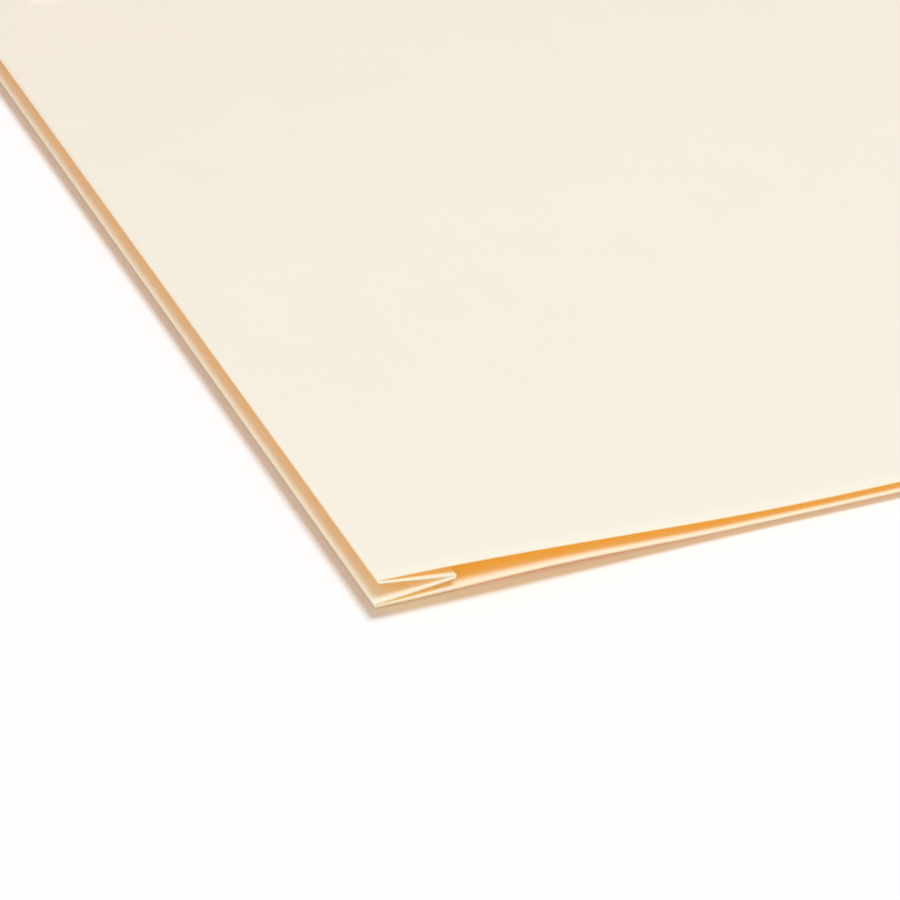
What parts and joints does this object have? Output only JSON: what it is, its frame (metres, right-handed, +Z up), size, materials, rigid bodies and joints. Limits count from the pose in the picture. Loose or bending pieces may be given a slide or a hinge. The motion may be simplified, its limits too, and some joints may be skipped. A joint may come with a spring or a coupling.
{
  "type": "expanding file pocket",
  "caption": "Manila pocket for loose papers, open along one long side, with inward V-pleat gussets at its sides and bottom that unfold so the front panel lifts off the back.",
  "frame": {"origin": "centre of the pocket's footprint, on the surface that its back panel lies on", "axes": "+X to the right along the mouth, +Y from the mouth to the bottom gusset, +Z up from the back panel to the front panel"},
  "size_m": [0.2984, 0.2414, 0.0056],
  "materials": {
    "manila": "matte uncoated manila stock",
    "dried_glue": "satin dried adhesive"
  },
  "bodies": {
    "back_panel": {"back_panel": "manila", "left_back_crease": "manila", "right_back_crease": "manila", "bottom_back_crease": "manila"},
    "left_lower_leaf": {"left_lower_leaf": "manila", "left_inner_crease": "manila"},
    "left_upper_leaf": {"left_upper_leaf": "manila"},
    "front_panel": {"front_panel": "manila", "left_front_crease": "manila", "right_front_crease": "manila", "bottom_front_crease": "manila", "right_glue_flap": "manila", "bottom_glue_flap": "manila", "right_glue_line": "dried_glue", "bottom_glue_line": "dried_glue"},
    "right_lower_leaf": {"right_lower_leaf": "manila", "right_inner_crease": "manila"},
    "right_upper_leaf": {"right_upper_leaf": "manila"},
    "bottom_lower_leaf": {"bottom_lower_leaf": "manila", "bottom_inner_crease": "manila"},
    "bottom_upper_leaf": {"bottom_upper_leaf": "manila"}
  },
  "joints": [
    {"name": "left_back_fold", "type": "hinge", "parent": "back_panel", "child": "left_lower_leaf", "pos_m": [-0.14877, 0, 0.00045], "axis": [0, -1, 0], "range_deg": [-3, 80]},
    {"name": "left_inner_fold", "type": "hinge", "parent": "left_lower_leaf", "child": "left_upper_leaf", "pos_m": [-0.13624, 0, 0.00255], "axis": [0, 1, 0], "range_deg": [-6, 160]},
    {"name": "left_front_fold", "type": "hinge", "parent": "left_upper_leaf", "child": "front_panel", "pos_m": [-0.14877, 0, 0.00466], "axis": [0, -1, 0], "range_deg": [-3, 80]},
    {"name": "right_back_fold", "type": "hinge", "parent": "back_panel", "child": "right_lower_leaf", "pos_m": [0.14877, 0, 0.00045], "axis": [0, 1, 0], "range_deg": [-3, 80]},
    {"name": "right_inner_fold", "type": "hinge", "parent": "right_lower_leaf", "child": "right_upper_leaf", "pos_m": [0.13624, 0, 0.00255], "axis": [0, -1, 0], "range_deg": [-6, 160]},
    {"name": "bottom_back_fold", "type": "hinge", "parent": "back_panel", "child": "bottom_lower_leaf", "pos_m": [0, 0.1202, 0.00045], "axis": [-1, 0, 0], "range_deg": [-3, 80]},
    {"name": "bottom_inner_fold", "type": "hinge", "parent": "bottom_lower_leaf", "child": "bottom_upper_leaf", "pos_m": [0, 0.10767, 0.00255], "axis": [1, 0, 0], "range_deg": [-6, 160]}
  ],
  "couplings": [
    {"joint": "left_inner_fold", "follows": "left_back_fold", "ratio": 2},
    {"joint": "left_front_fold", "follows": "left_back_fold", "ratio": 1},
    {"joint": "right_back_fold", "follows": "left_back_fold", "ratio": 1},
    {"joint": "right_inner_fold", "follows": "left_back_fold", "ratio": 2},
    {"joint": "bottom_back_fold", "follows": "left_back_fold", "ratio": 1},
    {"joint": "bottom_inner_fold", "follows": "left_back_fold", "ratio": 2}
  ]
}
